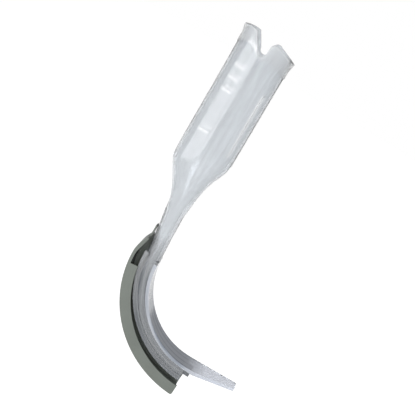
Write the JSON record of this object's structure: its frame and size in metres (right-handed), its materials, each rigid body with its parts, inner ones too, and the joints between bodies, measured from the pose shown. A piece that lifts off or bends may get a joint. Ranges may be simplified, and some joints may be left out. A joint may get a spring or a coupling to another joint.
{
  "type": "video laryngoscope blade",
  "caption": "Single-use clear video laryngoscope blade: hollow grip sleeve, slim stem, curved blade with camera window, and a grey introducer guide on its back.",
  "frame": {"origin": "centre of the grip sleeve's mouth, on the grip's axis", "axes": "+Z out of the mouth along the grip's axis, +X towards the concave side of the blade, Y side to side, with the guide's open side at -Y"},
  "size_m": [0.1012, 0.0274, 0.2059],
  "materials": {
    "clear_plastic": "gloss",
    "window_plastic": "gloss",
    "guide_grey": "satin"
  },
  "bodies": {
    "blade": {"right_shell": "clear_plastic", "left_shell": "clear_plastic", "mouth_collar": "clear_plastic", "spatula": "clear_plastic", "window_bezel": "clear_plastic", "camera_window": "window_plastic"},
    "guide": {"introducer_guide": "guide_grey"}
  },
  "joints": [
    {"name": "guide_release", "type": "slide", "parent": "blade", "child": "guide", "axis": [-0.7071, 0, -0.7071], "range_m": [0, 0.03]}
  ]
}
